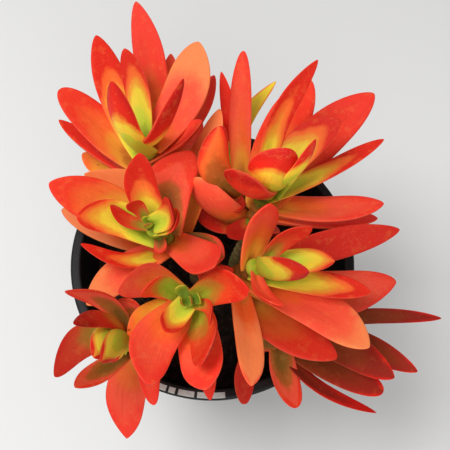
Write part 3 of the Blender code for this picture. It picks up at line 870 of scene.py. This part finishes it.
rim_blocks, tree, enter, leave = new_group("rim_blocks", [], ["Mask"])
x, y, z = tree.add("SeparateXYZ", {0: enter["Place"]}).outputs
turned_to = tree.math("DEGREES", tree.math("ARCTAN2", y, x))
radius = tree.math("SQRT", tree.plus(tree.math("POWER", x, 2.0), tree.math("POWER", y, 2.0)))
blocks = 0.0
for start, stop in BLOCKS:
    begun = tree.smooth(turned_to, start, start + BLOCK_EDGE)
    going = tree.smooth(turned_to, stop - BLOCK_EDGE, stop, 1.0, 0.0)
    blocks = tree.plus(blocks, tree.times(begun, going))
on_lip = tree.times(tree.smooth(radius, *INNER_EDGE), tree.smooth(radius, *OUTER_EDGE, 1.0, 0.0))
tree.fill(leave, {"Mask": tree.times(tree.times(blocks, on_lip), tree.smooth(z, *LIP_FLAT))})
print("group:", rim_blocks.name, " blocks:", len(BLOCKS))

# %% Pot plastic
BLACK, DUST = (0.010, 0.010, 0.011, 1.0), (0.060, 0.052, 0.044, 1.0)
SCUFF, PRINT = (0.13, 0.13, 0.13, 1.0), (0.50, 0.51, 0.48, 1.0)

pot_mat, tree, bsdf = new_material("pot_black_plastic")
place = tree.place()
dust = tree.smooth(tree.noise(place, 60.0, detail=6.0, roughness=0.65), 0.48, 0.78)
scuff = tree.smooth(tree.noise(place, 700.0, detail=5.0, roughness=0.7), 0.60, 0.80)
colour = tree.mix(tree.times(dust, 0.35), BLACK, DUST)
scuffed_lip = tree.times(scuff, tree.attribute("edge"))
colour = tree.mix(tree.times(scuffed_lip, 0.6), colour, SCUFF)
block = tree.group(rim_blocks, {"Place": place})["Mask"]
worn = tree.smooth(tree.noise(place, 900.0), 0.34, 0.50, 0.86, 1.0)
colour = tree.mix(tree.times(block, worn), colour, PRINT)
grain = tree.plus(tree.noise(place, 1900.0, detail=2.0), tree.times(scuff, -0.4))
tree.fill(bsdf, {"Base Color": colour, "Normal": tree.bump(grain, 0.25, 0.0002),
                 "Roughness": tree.plus(tree.times(dust, 0.20), 0.50),
                 "Specular IOR Level": 0.22})
print("material:", pot_mat.name)

# %% Profile of the pot
RIM, TALL = pot_high[0], pot_high[2]
LIP, SKIRT, WALL, FLOOR, BASE = 3.2, 10.0, 1.8, 2.2, 38.0  # lip width, band height, walls, foot radius
BAND = TALL - SKIRT
WALL_TOP = RIM - LIP - 0.9


def wall_radius(z):
    """Straight taper of the outside wall, from the base to the underside of the lip band."""
    return BASE + (WALL_TOP - BASE) * z / BAND


def arc(centre, radius, start, stop, count=7):
    """Centre plus radius times (cos, sin) of an angle that steps from start to stop, in degrees."""
    a = np.radians(np.linspace(start, stop, count))
    return list(zip(centre[0] + radius * np.cos(a), centre[1] + radius * np.sin(a)))


climb, descent = np.linspace(6.0, BAND - 1.2, 10), np.linspace(BAND - 6.0, FLOOR + 1.0, 8)
profile = [(0.001, 0.0), (BASE - 12, 0.0)] + arc((BASE - 1.6, 1.6), 1.6, -90, -4)
profile += list(zip(wall_radius(climb), climb))
profile += [(WALL_TOP + 0.5, BAND - 0.2)] + arc((RIM - 1.9, BAND + 0.7), 0.7, -90, 0, 5)
profile += arc((RIM - 1.2, TALL - 1.2), 1.2, 5, 90, 8)
profile += [(RIM - LIP + 0.5, TALL)] + arc((RIM - LIP, TALL - 0.8), 0.8, 90, 180, 6)
profile += [(wall_radius(BAND) - WALL, BAND - 1.0)]
profile += list(zip(wall_radius(descent) - WALL, descent))
profile += [(wall_radius(FLOOR) - WALL - 0.8, FLOOR), (0.001, FLOOR)]
profile = np.array(profile)
print("profile points:", len(profile))

# %% Turn the pot and drill it
POT_SIDES = 192
HOLES, HOLE_RADIUS, HOLE_RING, DRILL_DEPTH = 8, 4.0, 29.0, 8.0

turn = 2.0 * np.pi * np.arange(POT_SIDES) / POT_SIDES
pot_points = np.stack([profile[:, :1] * np.cos(turn), profile[:, :1] * np.sin(turn),
                       np.repeat(profile[:, 1:], POT_SIDES, axis=1)], axis=-1).reshape(-1, 3)
pot_points = np.vstack([pot_points, (0.0, 0.0, 0.0), (0.0, 0.0, FLOOR)])
edge = np.clip((pot_points[:, 2] - (BAND - 1.0)) / 3.0, 0.0, 1.0)  # 1 on the lip band, 0 below it
pot = make_piece("pot_turned", pot_points, tube_faces(len(profile), POT_SIDES), [pot_mat],
                 {"edge": edge})


def drain_holes(target):
    """Cut the ring of drain holes through the floor."""
    bm = bmesh.new()
    for k in range(HOLES):
        a = 2.0 * math.pi * (k + 0.5) / HOLES
        spot = HOLE_RING * MM * math.cos(a), HOLE_RING * MM * math.sin(a), MM
        bmesh.ops.create_cone(bm, cap_ends=True, segments=32, radius1=HOLE_RADIUS * MM,
                              radius2=HOLE_RADIUS * MM, depth=DRILL_DEPTH * MM,
                              matrix=Matrix.Translation(spot))
    mesh = bpy.data.meshes.new("drill")
    bm.to_mesh(mesh)
    bm.free()
    drill = bpy.data.objects.new("drill", mesh)
    PLANT.objects.link(drill)
    cut = target.modifiers.new("holes", "BOOLEAN")
    cut.operation, cut.object, cut.solver = "DIFFERENCE", drill, "EXACT"
    solved = target.evaluated_get(bpy.context.evaluated_depsgraph_get())
    fine = bpy.data.meshes.new_from_object(solved)
    target.modifiers.clear()
    target.data = fine
    bpy.data.objects.remove(drill, do_unlink=True)


drain_holes(pot)
pot.data.shade_smooth()
pot.data.set_sharp_from_angle(angle=math.radians(50))
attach(pot, "root")
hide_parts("pot")
print("pot faces:", len(pot.data.polygons))

# %% [markdown]
# ## Soil
# The mix is peat and bark, nearly black when damp. Each crumb could be a piece, but only the top shows,
# in shade. So the body is one shape with a heaped top, roughened by layered waves, and a few hundred
# loose crumbs break its outline.

# %% Soil finish
soil_mat, tree, bsdf = new_material("soil_mix")
speck = tree.noise(tree.place(), 500.0, detail=6.0, roughness=0.7)
colour = tree.ramp(speck, [(0.30, (0.004, 0.003, 0.002)), (0.52, (0.018, 0.012, 0.008)),
                           (0.66, (0.050, 0.032, 0.020)), (0.80, (0.10, 0.07, 0.045))])
tree.fill(bsdf, {"Base Color": colour, "Roughness": 0.95, "Specular IOR Level": 0.2,
                 "Normal": tree.bump(speck, 0.9, 0.0010)})
print("material:", soil_mat.name)

# %% Build the soil
SOIL_RINGS, SOIL_SIDES = 60, 150
ROUGH_HEIGHT, WAVE_NUMBER, LAYERS = 0.9, 0.42, 4  # mm, radians to the millimetre, and how many


def rough_ground(x, y):
    """Sum of layers of three sines in chance directions, each layer half as high and twice as fine."""
    waves = np.random.default_rng(11)
    height = np.zeros_like(x)
    for layer in range(LAYERS):
        for way, phase in waves.uniform(0.0, 2.0 * np.pi, (3, 2)):
            run = x * np.cos(way) + y * np.sin(way)
            height += 0.25 * 0.5 ** layer * np.sin(WAVE_NUMBER * 2.0 ** layer * run + phase)
    return height


def flat_ring(radius, z):
    """One level ring of points of the given radius."""
    return np.stack([radius * np.cos(spin), radius * np.sin(spin), np.full(SOIL_SIDES, z)], axis=-1)


soil_edge = wall_radius(SOIL_TOP) - WALL - 0.6
share = np.linspace(1.0, 0.02, SOIL_RINGS)[:, None]
spin = 2.0 * np.pi * np.arange(SOIL_SIDES) / SOIL_SIDES
x, y = share * soil_edge * np.cos(spin), share * soil_edge * np.sin(spin)
top = np.stack([x, y, soil_level(x, y) - 0.6 + ROUGH_HEIGHT * rough_ground(x, y)], axis=-1)
low = soil_low[2]
body = np.vstack([flat_ring(wall_radius(low) - WALL - 0.4, low),
                  flat_ring(wall_radius(0.5 * SOIL_TOP) - WALL - 0.4, 0.5 * SOIL_TOP),
                  flat_ring(soil_edge, SOIL_TOP - 2.5)])
soil_points = np.vstack([body, top.reshape(-1, 3), (0, 0, low), (0, 0, float(top[-1, :, 2].mean()))])
soil = make_piece("soil_heap", soil_points, tube_faces(SOIL_RINGS + 3, SOIL_SIDES), [soil_mat])
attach(soil, "root")
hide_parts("soil")
print("soil faces:", len(soil.data.polygons))

# %% Loose crumbs
CRUMBS = 700
bm = bmesh.new()
bmesh.ops.create_icosphere(bm, subdivisions=1, radius=1.0)
ball = bpy.data.meshes.new("crumb")
bm.to_mesh(ball)
bm.free()
corners, triangles = np.empty((12, 3), dtype=np.float32), np.empty((20, 3), dtype=np.int32)
ball.vertices.foreach_get("co", corners.ravel())
ball.polygons.foreach_get("vertices", triangles.ravel())
bpy.data.meshes.remove(ball)

rng = np.random.default_rng(7)
angle = rng.uniform(0, 2 * np.pi, CRUMBS)
reach = (soil_edge - 1.5) * np.sqrt(rng.uniform(0, 1, CRUMBS))
x, y = reach * np.cos(angle), reach * np.sin(angle)
size = rng.uniform(0.35, 1.3, (CRUMBS, 1)) * rng.uniform(0.6, 1.3, (CRUMBS, 3))
dents = rng.uniform(0.75, 1.2, (CRUMBS, len(corners), 1))
spots = np.stack([x, y, soil_level(x, y) + 0.1], axis=-1)
crumbs = spots[:, None] + corners * size[:, None] * dents
faces = (triangles + (np.arange(CRUMBS) * len(corners))[:, None, None]).reshape(-1, 3)
loose = make_piece("soil_crumbs", crumbs.reshape(-1, 3), faces.tolist(), [soil_mat])
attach(loose, "root")
print("crumbs:", CRUMBS)

# %% [markdown]
# ## Stage
# The plant stands on a plain pale floor under a broad soft lamp, with some fill from the front and
# from the room. One sun lamp would be simpler, but its hard shadows would cut up the leaves. The
# camera looks steeply down, because the heads are best seen from above.

# %% Floor and room
floor_mesh = bpy.data.meshes.new("floor")
floor_mesh.from_pydata([(-3, -3, 0), (3, -3, 0), (3, 3, 0), (-3, 3, 0)], [], [(0, 1, 2, 3)])
floor = bpy.data.objects.new("floor", floor_mesh)
bpy.context.scene.collection.objects.link(floor)
floor_mat, tree, bsdf = new_material("floor_pale")
tree.fill(bsdf, {"Base Color": (0.86, 0.86, 0.85, 1.0), "Roughness": 0.8, "Specular IOR Level": 0.1})
floor_mesh.materials.append(floor_mat)

world = bpy.data.worlds.new("studio")
bpy.context.scene.world = world
world.use_nodes = True
Tree(world.node_tree).fill(world.node_tree.nodes["Background"],
                           {"Color": (1.0, 1.0, 1.0, 1.0), "Strength": 0.36})
print("stage:", floor.name, "and", world.name)

# %% Lamps
MIDDLE = (0.0, 0.0, 0.11)  # of the plant, in metres


def lamp(name, place, size, watts):
    """Square area lamp at place, size metres wide, aimed at the middle of the plant."""
    light = bpy.data.lights.new(name, "AREA")
    light.shape, light.size, light.energy = "SQUARE", size, watts
    obj = bpy.data.objects.new(name, light)
    obj.location = place
    obj.rotation_euler = (Vector(MIDDLE) - Vector(place)).to_track_quat("-Z", "Y").to_euler()
    bpy.context.scene.collection.objects.link(obj)


lamp("key", (-0.28, 0.02, 0.75), 0.35, 3.4)
lamp("fill", (0.05, -0.60, 0.55), 0.6, 2.0)
print("lamps:", ", ".join(light.name for light in bpy.data.lights))

# %% Camera
camera_data = bpy.data.cameras.new("camera")
camera_data.lens, camera_data.sensor_width, camera_data.clip_start = 55.4, 36.0, 0.01
camera = bpy.data.objects.new("camera", camera_data)
camera.location = (0.00484, -0.09426, 0.34304)
camera.rotation_euler = (math.radians(90.0 - 66.9), 0.0, 0.0)  # it looks down by 66.9 degrees
bpy.context.scene.collection.objects.link(camera)
bpy.context.scene.camera = camera
bpy.context.scene.view_settings.view_transform = "Standard"
print("camera lens in mm:", camera_data.lens)

# %% [markdown]
